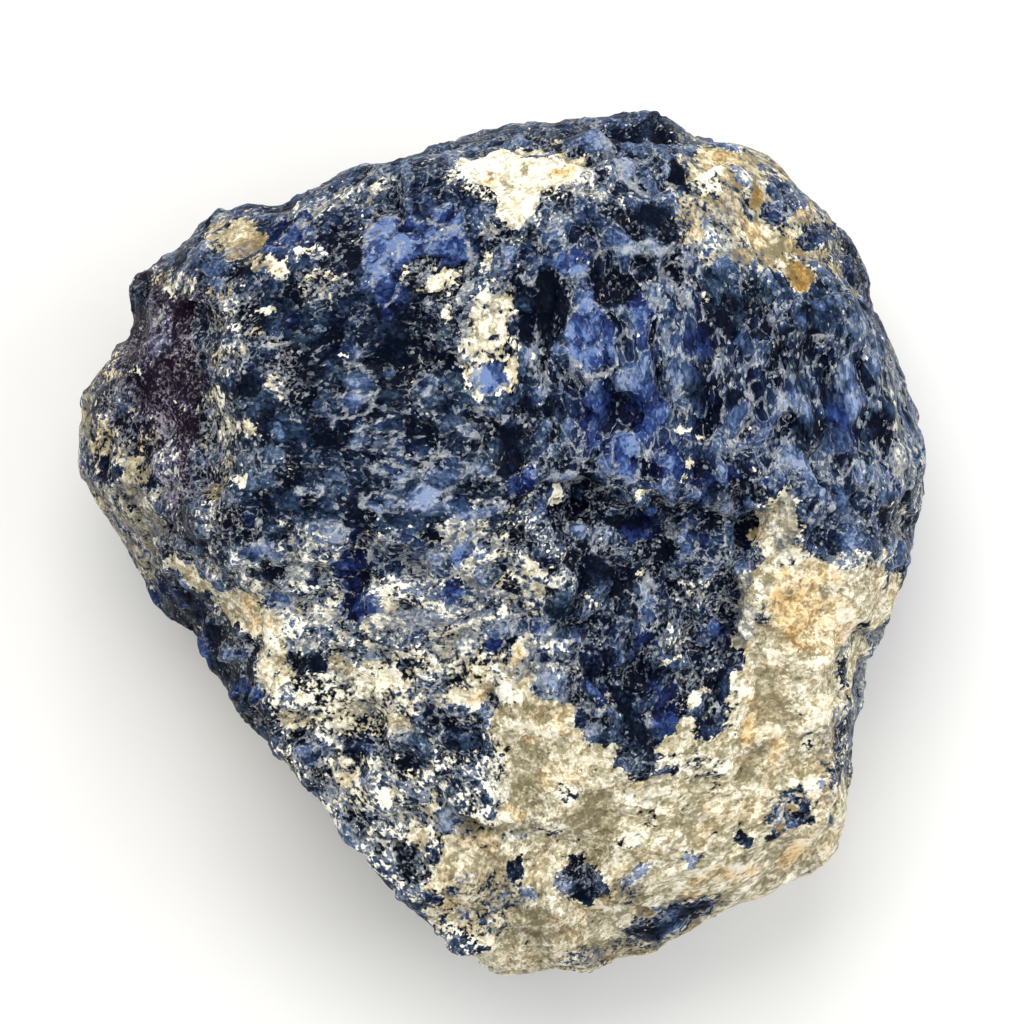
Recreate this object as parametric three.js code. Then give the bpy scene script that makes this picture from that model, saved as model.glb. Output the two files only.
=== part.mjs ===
// A lump of rough sodalite, as broken from the vein: one solid, standing on a small flat foot.
// Millimetres, +Z up, origin on the standing surface under the middle of the bounding box.
// The lump is found by casting rays out of its heart to the nearest of three bounds: broken
// planes over it, broken planes under it, and a side wall that follows the outline. Ledges are
// then broken out of it, and its whole surface but the foot is roughened.
import * as THREE from "three";
import { ImprovedNoise } from "three/addons/math/ImprovedNoise.js";
import { mergeVertices } from "three/addons/utils/BufferGeometryUtils.js";

// Driving dimensions.
const WIDTH = 68; // along X
const DEPTH = 68.6; // along Y
const HEIGHT = 36; // along Z, foot to crest
const FOOT_REACH = 11.5; // from the middle of the foot to the planes that rise around it
const HEART_HEIGHT = 16; // of the point that the rays leave from
const MESH_DETAIL = 21; // the faceted solid has 20 x (detail + 1)^2 triangles
const RAY_FLATNESS = 0.6; // spreads the rays over a flat lump as evenly as over a ball

// The outline seen from above, anticlockwise from the right-hand end, for the driving width and
// depth given above. A smooth closed curve runs through it.
const OUTLINE = [
  [34, 7], [32.5, 12.5], [29.5, 20.5], [28, 24], [25.5, 27.5], [22, 30.5], [19.5, 32],
  [16, 32.5], [12, 34.5], [6, 34], [0.5, 33.5], [-4, 32.5], [-8, 31], [-12.5, 29.5],
  [-17, 27.5], [-22.5, 27], [-28, 22.5], [-30, 21], [-30, 18], [-33.5, 12.5], [-34, 9],
  [-33.5, 6], [-30, -1], [-28, -4.5], [-24, -9], [-21, -13.5], [-12.5, -23], [-7.5, -28.5],
  [-3.5, -32.5], [0, -34.5], [4.5, -34], [9.5, -33.5], [14, -31.5], [19, -29], [24, -27],
  [27, -24], [27.5, -20], [28.5, -11.5], [30, -7], [32, -3.5], [33, 1],
];

// Broken planes over the lump: a point on each, its slope, and the compass direction in which it
// falls, both in degrees, with 0 along +X and 90 along +Y.
const TOP_PLANES = [
  { name: "crest", at: [6, 15, 36], slope: 3, falls: 200 },
  { name: "left plateau", at: [-6, 12, 34.6], slope: 9, falls: 195 },
  { name: "right crown", at: [16, 12, 35], slope: 13, falls: 10 },
  { name: "right flank", at: [26, 8, 31.5], slope: 44, falls: 5 },
  { name: "upper right flank", at: [20, 25, 31], slope: 40, falls: 48 },
  { name: "upper bevel", at: [2, 29, 33.5], slope: 48, falls: 95 },
  { name: "upper left flank", at: [-16, 22, 31.5], slope: 36, falls: 130 },
  { name: "left scarp", at: [-23, 10, 30.5], slope: 40, falls: 182 },
  { name: "lower left face", at: [-14, -8, 29.5], slope: 21, falls: 225 },
  { name: "lower face", at: [0, -20, 28.5], slope: 20, falls: 262 },
  { name: "lower right face", at: [18, -14, 29], slope: 23, falls: 318 },
  { name: "lower right bevel", at: [20, -25, 23.5], slope: 52, falls: 308 },
  { name: "lower bevel", at: [6, -31, 22.5], slope: 50, falls: 282 },
];

// Broken planes under the lump: the direction in which each rises, its slope in degrees, and how
// far outside the foot reach it starts.
const UNDER_PLANES = [
  { rises: 12, slope: 27, start: 2 },
  { rises: 58, slope: 33, start: 3 },
  { rises: 101, slope: 25, start: 0 },
  { rises: 148, slope: 35, start: 1.5 },
  { rises: 190, slope: 24, start: 0.5 },
  { rises: 232, slope: 40, start: -1 },
  { rises: 281, slope: 29, start: 1 },
  { rises: 327, slope: 34, start: 3.5 },
];

// The side wall: the height of its widest line and how far it leans in from the vertical above
// and below that line, in degrees, for compass directions in between which they are blended.
const SIDE_WALL = [
  { towards: 0, widest: 15, leanAbove: 24, leanBelow: 26 },
  { towards: 60, widest: 17, leanAbove: 20, leanBelow: 24 },
  { towards: 105, widest: 20, leanAbove: 16, leanBelow: 20 },
  { towards: 150, widest: 16, leanAbove: 30, leanBelow: 18 },
  { towards: 190, widest: 13, leanAbove: 34, leanBelow: 30 },
  { towards: 232, widest: 20, leanAbove: 8, leanBelow: 16 },
  { towards: 290, widest: 16, leanAbove: 22, leanBelow: 24 },
  { towards: 325, widest: 14, leanAbove: 20, leanBelow: 28 },
];
const WALL_ROUNDING = 3; // radius that takes the edge off the widest line

// Ledges: where a sheet has broken away, the surface inside these corners lies deeper. The depth
// is given at one place, and changes by fall for each millimetre along the compass direction.
// The edge is how far it takes to reach that depth.
const TOP_LEDGES = [
  {
    name: "arched hollow",
    corners: [
      [3.1, 2.9], [4.1, 5.1], [5.3, 5.8], [8.3, 5.5], [9.8, 3.5], [13.9, 3.4], [15.2, 4.1],
      [21.8, 4.2], [21.1, 1.1], [19.7, -1.2], [18.8, -8.6], [15.3, -12.4], [12.8, -17.3],
      [10.6, -17.5], [7.9, -12.1], [4.4, -7.4], [3.9, -1.2],
    ],
    at: [10, 5], depth: 3.6, towards: 270, fade: 0.13, edge: 1.1,
  },
  {
    name: "cleft",
    corners: [[3.3, 12.4], [4.4, 12.8], [8.4, 12.8], [8.8, 8.1], [7.5, 5.9], [4.4, 5.4], [3.5, 8.9]],
    at: [6, 5.5], depth: 2.2, towards: 90, fade: 0.14, edge: 1,
  },
  {
    name: "left shelf",
    corners: [[-21.5, 21], [-20.3, 10], [-20.7, 3.5], [-23, 0], [-25, -2.5], [-36, -2], [-36, 21]],
    at: [-20, 10], depth: 3.4, towards: 180, fade: 0.28, edge: 3.5,
  },
  {
    name: "right shelf",
    corners: [[23.4, 15.8], [23.5, 5.8], [24.3, -1.6], [29.5, -1.2], [36, 3], [36, 12], [30, 17]],
    at: [23.5, 8], depth: 1.5, towards: 0, fade: 0.12, edge: 0.9,
  },
  {
    name: "plateau foot",
    corners: [
      [2.9, 5.9], [1.7, 4.2], [-0.2, 2.5], [-4.9, 1.1], [-9.5, 0.1], [-15.7, -0.6],
      [-20.4, -1.2], [-21.2, -7.4], [-11.9, -12.1], [-0.2, -10.5], [3.6, -4.3],
    ],
    at: [-6, 1], depth: 1.4, towards: 270, fade: 0.11, edge: 1,
  },
  {
    name: "dark cleavage face",
    corners: [
      [-11.7, 16.1], [-4.9, 16.1], [-2.9, 14.9], [-1.8, 11.6], [2.1, 10], [2.9, 6.2],
      [-0.2, 2.7], [-4.9, 1.9], [-9.5, 5.8], [-8, 10.4], [-11.1, 12.8],
    ],
    at: [-4, 9], depth: 0.9, towards: 0, fade: 0, edge: 0.8,
  },
  {
    name: "lower left chip",
    corners: [
      [-28, -3.2], [-25, -3.4], [-21.1, -5.2], [-19, -7.9], [-18.3, -11.5], [-20.3, -13.7],
      [-28, -14], [-33, -5],
    ],
    at: [-22, -8], depth: 1.7, towards: 225, fade: 0, edge: 1.2,
  },
];
const UNDER_LEDGES = [
  {
    name: "broken corner",
    corners: [[10, 12], [22, 6], [34, 12], [30, 30], [14, 30]],
    at: [16, 14], depth: 2.4, towards: 50, fade: 0.08, edge: 1.6,
  },
  {
    name: "broken sheet",
    corners: [[-14, 2], [-16, -8], [-30, -14], [-38, 2], [-30, 12], [-18, 10]],
    at: [-16, 0], depth: 1.8, towards: 180, fade: 0.06, edge: 1.4,
  },
];

// Rough relief on the whole surface but the foot.
const LUMPS = [
  { size: 15, height: 0.9 },
  { size: 6.5, height: 0.4 },
];
const GRAIN_SIZE = 4.6; // of the crystal grains that the breaks run round
const GRAIN_HEIGHT = 0.42;
const GRAIN_TILT = 0.2; // millimetres of rise for each millimetre across a grain
const RIM_RELIEF = 0.6; // share of the relief that is left at the outline
const RIM_WIDTH = 4; // from the outline to where the relief has its full height
const FOOT_MARGIN = 2.5; // above the foot, where the relief grows to its full height
const FOOT_FLATNESS = 0.35; // what is left this near to the standing surface lies on it

const BLUE_GREY = 0x5d6a84; // blue sodalite and pale feldspar, taken together
const DULL_BREAK = 0.55; // roughness

const LIP_REACH = 0.75; // how near a point has to be to a ledge's lip to be drawn onto it
const SURFACE_SLACK = 0.001; // a point this near to a plane lies on it
const OUTLINE_STEPS = 720;
const RAY_HALVINGS = 30;

// Large numbers with nothing in common, which scatter the numbers of neighbouring grains.
const CELL_MIX = new THREE.Vector4(127.1, 311.7, 74.7, 53.3);
const CELL_SPREAD = 43758.5453;

const noise = new ImprovedNoise();

function slopeOf(degrees) {
  return Math.tan(THREE.MathUtils.degToRad(degrees));
}

// How far the point (x, y) lies along a compass direction from (fromX, fromY).
function along(degrees, x, y, fromX = 0, fromY = 0) {
  const angle = THREE.MathUtils.degToRad(degrees);
  return (x - fromX) * Math.cos(angle) + (y - fromY) * Math.sin(angle);
}

// The nearest place to (x, y) on a ring of corners, and how far (x, y) lies inside the ring:
// positive inside it, negative outside.
function nearestOnRing(x, y, corners) {
  const nearest = { x, y, distance: Infinity };
  let inside = false;
  corners.forEach(([ax, ay], i) => {
    const [bx, by] = corners[(i + 1) % corners.length];
    const [ex, ey] = [bx - ax, by - ay];
    const share = THREE.MathUtils.clamp(((x - ax) * ex + (y - ay) * ey) / (ex * ex + ey * ey), 0, 1);
    const [px, py] = [ax + share * ex, ay + share * ey];
    const distance = Math.hypot(x - px, y - py);
    if (distance < nearest.distance) Object.assign(nearest, { x: px, y: py, distance });
    if (ay > y !== by > y && x < ax + (ex * (y - ay)) / ey) inside = !inside;
  });
  return { ...nearest, depth: inside ? nearest.distance : -nearest.distance };
}

function depthOf(ledge, x, y) {
  const step = THREE.MathUtils.smoothstep(nearestOnRing(x, y, ledge.corners).depth, 0, ledge.edge);
  const depth = ledge.depth - ledge.fade * along(ledge.towards, x, y, ...ledge.at);
  return step * Math.max(0, depth);
}

function ledgesAt(ledges, x, y) {
  return ledges.reduce((sum, ledge) => sum + depthOf(ledge, x, y), 0);
}

function topAt(x, y) {
  const planes = TOP_PLANES.map(
    ({ at, slope, falls }) => at[2] - slopeOf(slope) * along(falls, x, y, at[0], at[1]),
  );
  return Math.min(...planes);
}

function undersideAt(x, y) {
  const planes = UNDER_PLANES.map(
    ({ rises, slope, start }) => slopeOf(slope) * (along(rises, x, y) - FOOT_REACH - start),
  );
  return Math.max(0, ...planes);
}

// The outline's reach from the middle in every compass direction, read off its smooth curve.
function outlineReach() {
  const curve = new THREE.CatmullRomCurve3(
    OUTLINE.map(([x, y]) => new THREE.Vector3(x, y, 0)),
    true,
  );
  const points = curve.getPoints(OUTLINE_STEPS).map((p) => ({
    angle: THREE.MathUtils.euclideanModulo(Math.atan2(p.y, p.x), 2 * Math.PI),
    reach: Math.hypot(p.x, p.y),
  }));
  points.sort((a, b) => a.angle - b.angle);
  return (angle) => {
    const turned = THREE.MathUtils.euclideanModulo(angle, 2 * Math.PI);
    const next = points.findIndex((p) => p.angle > turned);
    const after = points[Math.max(next, 0)];
    const before = points.at(next - 1);
    const gap = THREE.MathUtils.euclideanModulo(after.angle - before.angle, 2 * Math.PI);
    const gone = THREE.MathUtils.euclideanModulo(turned - before.angle, 2 * Math.PI);
    return THREE.MathUtils.lerp(before.reach, after.reach, gap > 0 ? gone / gap : 0);
  };
}
const reachTowards = outlineReach();

// The side wall's figures in a compass direction, blended between the two nearest that are given.
function sideWall(angle) {
  const degrees = THREE.MathUtils.euclideanModulo(THREE.MathUtils.radToDeg(angle), 360);
  const next = SIDE_WALL.findIndex((w) => w.towards > degrees);
  const after = SIDE_WALL[Math.max(next, 0)];
  const before = SIDE_WALL.at(next - 1);
  const gap = THREE.MathUtils.euclideanModulo(after.towards - before.towards, 360);
  const gone = THREE.MathUtils.euclideanModulo(degrees - before.towards, 360);
  const share = THREE.MathUtils.smoothstep(gone / gap, 0, 1);
  return {
    widest: THREE.MathUtils.lerp(before.widest, after.widest, share),
    leanAbove: THREE.MathUtils.lerp(before.leanAbove, after.leanAbove, share),
    leanBelow: THREE.MathUtils.lerp(before.leanBelow, after.leanBelow, share),
  };
}

function insideWall(x, y, z) {
  const angle = Math.atan2(y, x);
  const { widest, leanAbove, leanBelow } = sideWall(angle);
  const away = (z - widest) * slopeOf(z > widest ? leanAbove : leanBelow);
  const inset = Math.hypot(away, WALL_ROUNDING) - WALL_ROUNDING;
  return reachTowards(angle) - inset - Math.hypot(x, y);
}

function isInside(p) {
  return (
    p.z < topAt(p.x, p.y) && p.z > undersideAt(p.x, p.y) && insideWall(p.x, p.y, p.z) > 0
  );
}

// The point where the ray from the heart leaves the lump, by halving.
function surfaceAlong(heart, direction) {
  let near = 0;
  let far = WIDTH;
  const point = new THREE.Vector3();
  for (let i = 0; i < RAY_HALVINGS; i++) {
    const middle = (near + far) / 2;
    point.copy(heart).addScaledVector(direction, middle);
    if (isInside(point)) near = middle;
    else far = middle;
  }
  return point;
}

// Draws a point near the lip of a ledge onto that lip, so that the lip breaks in a clean line.
function drawToLip(point, ledges) {
  const lips = ledges.map((ledge) => nearestOnRing(point.x, point.y, ledge.corners));
  const lip = lips.reduce((best, next) => (next.distance < best.distance ? next : best));
  if (lip.distance < LIP_REACH) point.set(lip.x, lip.y, point.z);
}

// Lets the ledges into the plain lump, from above and from below.
function breakLedges(point) {
  const onTop = topAt(point.x, point.y) - point.z < SURFACE_SLACK;
  const onUnderside = point.z - undersideAt(point.x, point.y) < SURFACE_SLACK;
  if (onTop) {
    drawToLip(point, TOP_LEDGES);
    point.z = topAt(point.x, point.y);
  } else if (onUnderside && point.z > SURFACE_SLACK) {
    drawToLip(point, UNDER_LEDGES);
    point.z = undersideAt(point.x, point.y);
  }
  const roof = topAt(point.x, point.y) - ledgesAt(TOP_LEDGES, point.x, point.y);
  const floor = undersideAt(point.x, point.y) + ledgesAt(UNDER_LEDGES, point.x, point.y);
  if (point.z > HEART_HEIGHT) point.z = Math.min(point.z, roof);
  else point.z = Math.max(point.z, floor);
}

// A number from 0 to 1 that is always the same for one cell and channel.
function cellNumber(i, j, k, channel) {
  const mixed = CELL_SPREAD * Math.sin(CELL_MIX.dot(new THREE.Vector4(i, j, k, channel)));
  return mixed - Math.floor(mixed);
}

// The height of the crystal grain that a point belongs to: each is a flat facet of its own.
function grainAt(p) {
  const cell = p.clone().divideScalar(GRAIN_SIZE).floor();
  let nearest = Infinity;
  let height = 0;
  for (let i = cell.x - 1; i <= cell.x + 1; i++) {
    for (let j = cell.y - 1; j <= cell.y + 1; j++) {
      for (let k = cell.z - 1; k <= cell.z + 1; k++) {
        const middle = new THREE.Vector3(i, j, k)
          .add(new THREE.Vector3(...[1, 2, 3].map((channel) => cellNumber(i, j, k, channel))))
          .multiplyScalar(GRAIN_SIZE);
        const offset = p.clone().sub(middle);
        if (offset.length() > nearest) continue;
        nearest = offset.length();
        const [u, v, w, level] = [4, 5, 6, 7].map((channel) => 2 * cellNumber(i, j, k, channel) - 1);
        height = GRAIN_HEIGHT * level + GRAIN_TILT * offset.dot(new THREE.Vector3(u, v, w));
      }
    }
  }
  return height;
}

function reliefAt(p) {
  const lumps = LUMPS.reduce(
    (sum, { size, height }) => sum + height * noise.noise(p.x / size, p.y / size, p.z / size),
    0,
  );
  const fromRim = reachTowards(Math.atan2(p.y, p.x)) - Math.hypot(p.x, p.y);
  const awayFromRim = THREE.MathUtils.smoothstep(fromRim, 0, RIM_WIDTH);
  const aboveFoot = THREE.MathUtils.smoothstep(p.z, 0, FOOT_MARGIN);
  return (lumps + grainAt(p)) * THREE.MathUtils.lerp(RIM_RELIEF, 1, awayFromRim) * aboveFoot;
}

function lumpGeometry() {
  const ball = new THREE.IcosahedronGeometry(1, MESH_DETAIL);
  ball.deleteAttribute("normal");
  ball.deleteAttribute("uv");
  const geometry = mergeVertices(ball);
  const heart = new THREE.Vector3(0, 0, HEART_HEIGHT);
  const places = geometry.getAttribute("position");
  const direction = new THREE.Vector3();
  for (let i = 0; i < places.count; i++) {
    direction.fromBufferAttribute(places, i);
    direction.z *= RAY_FLATNESS;
    const point = surfaceAlong(heart, direction.normalize());
    breakLedges(point);
    places.setXYZ(i, ...point);
  }
  roughen(geometry);
  return geometry;
}

// Raises and lowers the surface along its own normals, and leaves the foot flat.
function roughen(geometry) {
  geometry.computeVertexNormals();
  const places = geometry.getAttribute("position");
  const normals = geometry.getAttribute("normal");
  const point = new THREE.Vector3();
  const normal = new THREE.Vector3();
  for (let i = 0; i < places.count; i++) {
    point.fromBufferAttribute(places, i);
    normal.fromBufferAttribute(normals, i);
    point.addScaledVector(normal, reliefAt(point));
    if (point.z < FOOT_FLATNESS) point.z = 0;
    places.setXYZ(i, ...point);
  }
}

// Brings the lump to its driving size, standing on the origin.
function fitToSize(geometry) {
  geometry.computeBoundingBox();
  const { min, max } = geometry.boundingBox;
  geometry.translate(-(min.x + max.x) / 2, -(min.y + max.y) / 2, -min.z);
  geometry.scale(WIDTH / (max.x - min.x), DEPTH / (max.y - min.y), HEIGHT / (max.z - min.z));
  return geometry;
}

function roughSodalite() {
  const stone = new THREE.Mesh(
    fitToSize(lumpGeometry()),
    new THREE.MeshStandardMaterial({
      color: BLUE_GREY,
      roughness: DULL_BREAK,
      metalness: 0,
      flatShading: true,
    }),
  );
  stone.name = "sodalite_lump";
  return stone;
}

const specimen = new THREE.Group();
specimen.add(roughSodalite());

export default specimen;
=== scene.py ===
"""A lump of rough sodalite on a pale floor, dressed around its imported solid.

It is laid out as an add-on and run as a script. The stone is modelled in millimetres and brought
to metres at the end. Its surface is made of flakes and grains, and the same layers of flakes give
both the relief and the colour, so a pale rim lies where a flake ends.
"""

import math

import bmesh
import bpy
import numpy as np
from mathutils import Color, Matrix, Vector


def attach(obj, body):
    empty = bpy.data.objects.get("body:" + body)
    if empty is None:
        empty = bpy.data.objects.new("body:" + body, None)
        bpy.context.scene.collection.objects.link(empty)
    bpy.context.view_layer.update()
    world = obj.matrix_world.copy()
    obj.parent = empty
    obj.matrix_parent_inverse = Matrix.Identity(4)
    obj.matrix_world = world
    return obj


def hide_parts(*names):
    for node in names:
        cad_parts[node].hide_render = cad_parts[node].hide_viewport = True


bl_info = {
    "name": "Rough sodalite",
    "version": (1, 0, 0),
    "blender": (4, 5, 0),
    "location": "3D View > Sidebar > Sodalite",
    "description": "Builds a lump of rough sodalite with broken, flaky faces",
    "category": "Object",
}

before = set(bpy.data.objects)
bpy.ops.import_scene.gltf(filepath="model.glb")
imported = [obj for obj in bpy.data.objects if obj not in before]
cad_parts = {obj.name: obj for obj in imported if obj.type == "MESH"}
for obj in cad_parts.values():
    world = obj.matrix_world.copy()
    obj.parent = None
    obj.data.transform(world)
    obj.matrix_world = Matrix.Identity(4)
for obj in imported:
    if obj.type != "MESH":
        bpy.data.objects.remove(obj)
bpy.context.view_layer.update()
LUMP = "sodalite_lump"
PIECE = "rough_sodalite"
MM = 0.001  # one millimetre, in metres

# ---------------------------------------------------------------------------------------------
# What the stone is made of, and where. Places and reaches are in millimetres, seen from above.

# Each kind of stone is a blend of these shares. They run from 0 to 1, and a number past an end
# holds every flake and grain of that kind dark, or pale, however far its own dice sway it:
# pale    how much of it is feldspar and calcite grains rather than sodalite
# light   how light those grains are, from olive grey to white
# warm    how far iron has stained them towards ochre
# tone    how light the sodalite is, from black-blue to light blue
# royal   how pure its blue is
# film    how much of it lies under a pale film, which shows most at the rims of flakes
# dust    how much white powder lies on it
# violet  how far it leans to violet: painted shade and painted reflection on the left side
SHARES = ("pale", "light", "warm", "tone", "royal", "film", "dust", "violet")
KINDS = {
    #                pale light warm tone royal film dust violet
    "slate":        (0.05, 0.60, 0.30, 0.31, 0.20, 0.28, 0.38, 0.00),
    "dark flakes":  (0.01, 0.60, 0.30, 0.19, 0.05, 0.12, 0.34, 0.00),
    "clean slate":  (0.02, 0.60, 0.30, 0.41, 0.20, 0.24, 0.18, 0.00),
    "black slate":  (0.00, 0.60, 0.30, -0.06, 0.05, 0.04, 0.22, 0.00),
    "blue flakes":  (0.01, 0.70, 0.30, 0.37, 0.34, 0.40, 0.16, 0.00),
    "scales":       (0.00, 0.70, 0.30, 0.47, 0.34, 0.14, 0.08, 0.00),
    "bright blue":  (0.00, 0.80, 0.30, 0.79, 0.88, 0.08, 0.02, 0.00),
    "royal blue":   (0.00, 0.70, 0.30, 0.34, 0.95, 0.12, 0.08, 0.00),
    "blue film":    (0.10, 0.70, 0.25, 0.68, 0.30, 0.75, 0.40, 0.00),
    "salt":         (0.34, 0.68, 0.30, 0.13, 0.02, 0.40, 0.58, 0.00),
    # Its slight violet is painted reflection
    "frost":        (0.28, 0.44, 0.30, 0.12, 0.06, 0.28, 0.70, 0.10),
    "speckle":      (0.46, 0.59, 0.32, 0.36, 0.20, 0.60, 0.55, 0.00),
    "crumbly":      (0.60, 0.60, 0.36, 0.20, 0.05, 0.28, 0.50, 0.00),
    "faded":        (0.40, 0.36, 0.30, 0.32, 0.14, 0.70, 0.50, 0.00),
    "feldspar":     (0.95, 0.60, 0.42, 0.40, 0.10, 0.02, 0.30, 0.00),
    "mottled":      (0.62, 0.37, 0.56, 0.54, 0.10, 0.30, 0.40, 0.00),
    # Its violet share is painted shade and painted reflection on the left side
    "weathered and violet-shaded":    (0.56, 0.34, 0.32, 0.24, 0.08, 0.40, 0.42, 0.25),
    "scaly":        (0.03, 0.60, 0.30, 0.13, 0.22, 0.26, 0.44, 0.00),
    "dull":         (0.92, 0.40, 0.25, 0.40, 0.10, 0.50, 0.40, 0.00),
    "olive":        (1.00, 0.36, 0.45, 0.40, 0.00, 0.10, 0.20, 0.00),
    "cream":        (0.66, 0.80, 0.35, 0.30, 0.00, 0.22, 0.60, 0.00),
    "chalk":        (1.50, 0.92, 0.35, 0.60, 0.00, 0.05, 0.20, 0.00),
    "white":        (1.00, 1.00, 0.15, 0.60, 0.00, 0.10, 0.20, 0.00),
    "sand":         (1.00, 0.78, 0.70, 0.60, 0.00, 0.00, 0.20, 0.00),
    "ochre":        (0.98, 0.74, 0.72, 0.60, 0.00, 0.00, 0.20, 0.00),
    "rust":         (0.92, 0.16, 1.00, 0.50, 0.00, 0.00, 0.20, 0.00),
    # The violet of these kinds is painted shade and painted reflection on the left side
    "violet slate": (0.05, 0.40, 0.35, 0.00, 0.04, 0.12, 0.50, 0.85),
    "worn and violet-shaded":         (0.27, 0.40, 0.45, 0.13, 0.08, 0.22, 0.60, 0.30),
    "lilac":        (0.30, 0.50, 0.20, 0.50, 0.10, 0.60, 0.60, 0.70),
}
BASE_KIND = "slate"

# The main zones, from the plateau round to the chip, as rings of corners. A later one lies on an
# earlier one, and all lie on the base kind.
ZONES = [
    ("dark flakes", [(-20, 19), (-14, 23), (-4, 22), (0, 20), (2, 15), (3.5, 5.5), (0, 2.5),
                     (-5, 1), (-16, 0), (-21, 1), (-23, 5), (-22, 12)]),
    ("blue flakes", [(2.5, 24), (8, 26.5), (14, 24), (22.5, 19), (23, 12), (22.5, 5), (14, 4),
                     (8, 5.5), (4, 5.5), (3, 12)]),
    ("clean slate", [(22.5, 21), (29, 20), (36, 8), (36, -3), (24, -1), (23, 5)]),
    ("faded", [(28.8, 18), (31, 17), (33.5, 10), (36, 2), (36, -2), (31.5, 0), (31.3, 5),
               (30, 10)]),
    ("mottled", [(14, 34), (19, 34), (23, 29), (25.6, 25.5), (25.8, 21.6), (23, 20), (17, 22),
                 (13, 25)]),
    # The left side: over the stone's own colours, these three zones lean to violet as painted shade
    # and painted reflection
    ("worn and violet-shaded", [(-30, 23), (-24, 21), (-22.5, 4), (-23, 0), (-28, 1), (-34, 13)]),
    ("violet slate", [(-29.5, 21), (-24.5, 20.5), (-23.6, 12), (-23.2, 6), (-25, 5), (-28, 10),
                      (-30, 14)]),
    ("weathered and violet-shaded", [(-36, 14), (-31.5, 11), (-29, 7), (-27, 3), (-25, 0), (-28, -5), (-36, 2)]),
    ("speckle", [(-24, -1), (-16, 1), (-4, 2), (3, 3), (5, -6), (9, -14), (3, -12), (-1, -12),
                 (-9, -15), (-17, -17), (-20, -12), (-22, -5)]),
    ("crumbly", [(-18.5, -10), (-17.5, -13.5), (-13, -15.5), (-8, -14), (-2, -12), (1.5, -11.5),
                 (1, -8.8), (-6, -8.8), (-13, -8.6)]),
    ("salt", [(-19, -13), (-15, -15), (-8, -14), (-1, -13), (0, -18), (-1, -21), (-5, -23),
              (-5, -28), (-10, -26), (-17, -19)]),
    ("scaly", [(3.5, 3), (7, 5.5), (11, 4), (16, 4), (22, 4.5), (20, 0), (18.5, -3),
               (18.8, -8), (17.5, -11), (17, -13.5), (14.5, -14), (13, -18), (10, -18),
               (8.5, -14), (6.5, -10), (4, -6), (4, -1)]),
    ("feldspar", [(0, -10.5), (3, -10), (6, -13.6), (8.8, -16.2), (10.6, -18), (11.5, -18.7),
                  (12.3, -18), (13, -16), (14.4, -14.2), (17.8, -14),
                  (19, -8), (19, -3), (21, 4.5), (23, 4), (23.5, -0.5), (30, -1.5), (34, -3),
                  (34, -20), (28, -30), (10, -37), (-4, -37), (-6, -29), (-5, -23), (-1, -21),
                  (0, -17), (-0.5, -13)]),
    ("faded", [(27.6, -7), (30.5, -6), (31.5, -12), (30, -21.5), (26.2, -21), (26.1, -16.5),
               (27.2, -12)]),
    # The chip: dark sodalite, and painted shade along its low edge
    ("black slate", [(-28, -3.5), (-25, -4), (-21, -6.5), (-18.6, -9), (-18.6, -13), (-20.5, -15),
                     (-27, -12)]),
]

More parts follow.
